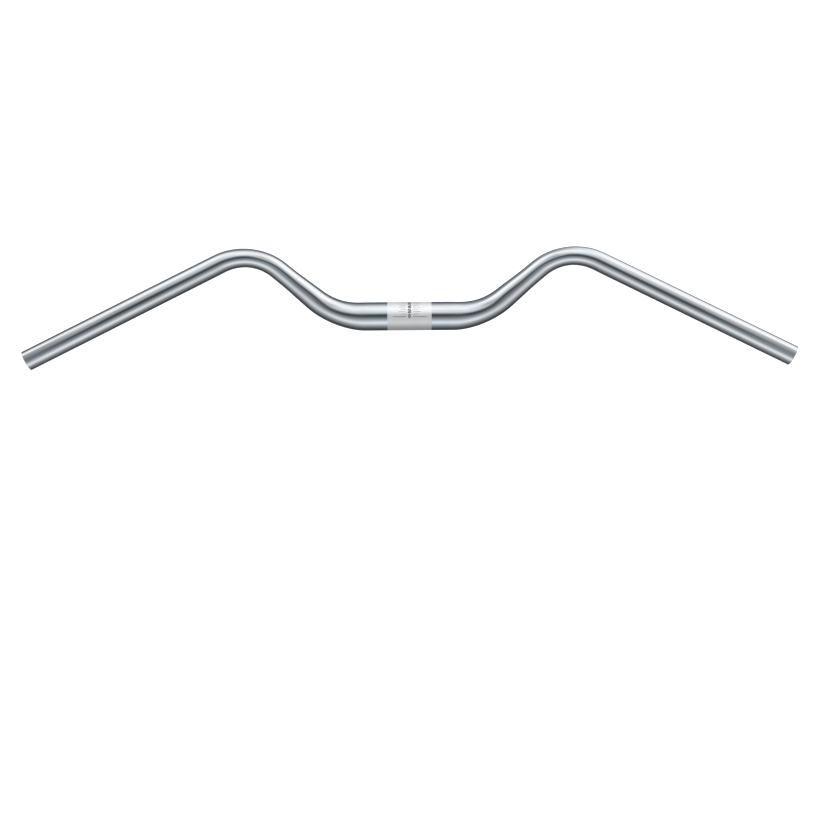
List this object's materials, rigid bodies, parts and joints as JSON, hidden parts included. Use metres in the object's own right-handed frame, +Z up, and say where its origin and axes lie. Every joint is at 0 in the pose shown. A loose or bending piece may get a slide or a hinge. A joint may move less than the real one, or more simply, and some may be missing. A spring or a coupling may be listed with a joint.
{
  "type": "bicycle handlebar",
  "caption": "Swept-back bicycle handlebar: one tapered, bent aluminium tube with a wide clamp zone in the middle and two straight grips.",
  "frame": {"origin": "middle of the clamp zone, on the tube's axis", "axes": "+X across the bicycle along the clamp zone's axis, +Y forward in the direction of travel, +Z up"},
  "size_m": [0.8378, 0.132, 0.0751],
  "materials": {
    "handlebar": "polished, with a matt blasted band where the stem holds it"
  },
  "bodies": {
    "root": {"handlebar": "handlebar"}
  },
  "joints": []
}
